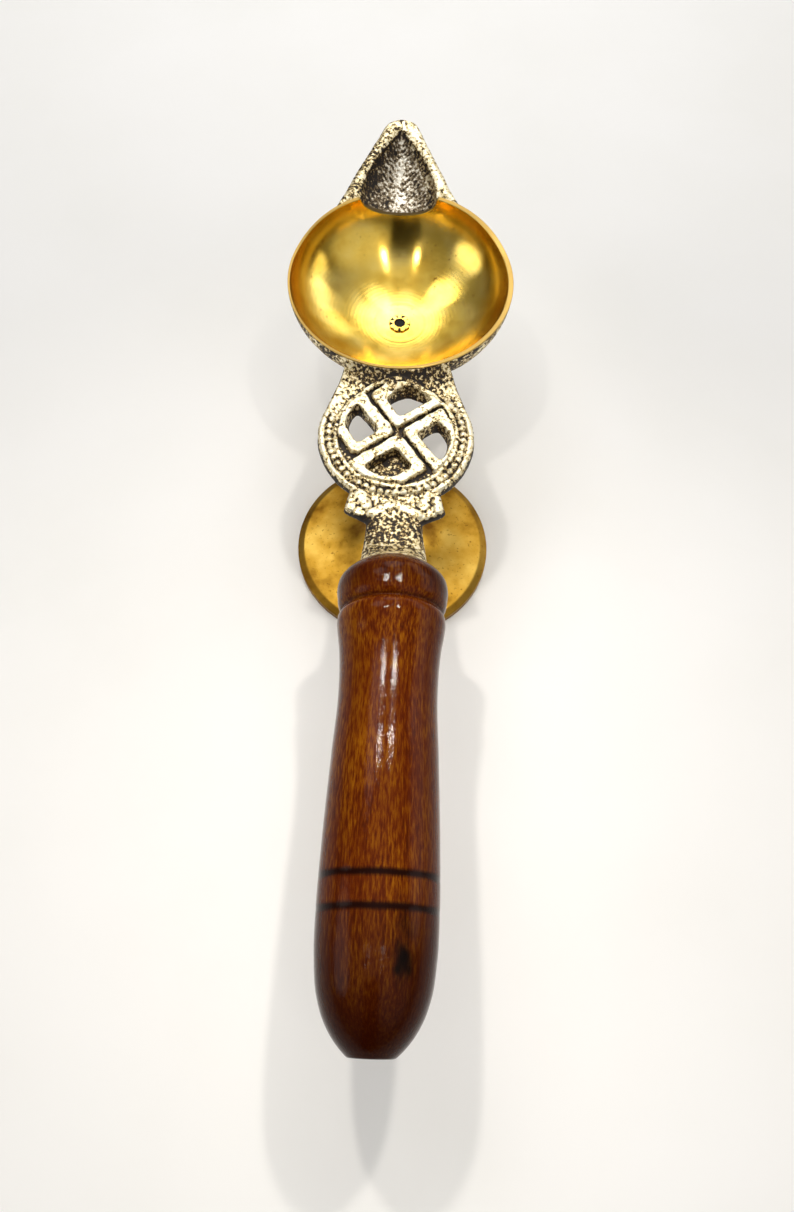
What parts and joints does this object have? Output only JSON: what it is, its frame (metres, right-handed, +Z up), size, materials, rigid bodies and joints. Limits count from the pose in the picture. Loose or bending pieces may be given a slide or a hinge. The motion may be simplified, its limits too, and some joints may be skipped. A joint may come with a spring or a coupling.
{
  "type": "aarti lamp",
  "caption": "Hand-held brass oil lamp with a round polished bowl, pointed wick lip, pierced cast roundel, round standing foot and turned wooden handle.",
  "frame": {"origin": "centre of the foot's resting face, on the stem's axis", "axes": "+Z up, +Y along the lamp towards the wick lip, the handle towards -Y, +X to the right seen over the handle"},
  "size_m": [0.06, 0.2382, 0.0587],
  "materials": {
    "cast_brass": "rough sand-cast, dark patina in the recesses",
    "polished_brass": "turned and mirror polished",
    "turned_brass": "turned, satin polished",
    "lacquered_wood": "stained red-brown, glossy lacquer",
    "lac_cement": "set resin",
    "steel": "zinc plated"
  },
  "bodies": {
    "root": {"lamp_casting": "cast_brass", "bowl_plug": "polished_brass", "handle": "lacquered_wood", "tang_cement": "lac_cement", "stem": "turned_brass", "foot": "turned_brass", "tie_rod": "steel", "washer": "steel", "nut": "steel"}
  },
  "joints": []
}
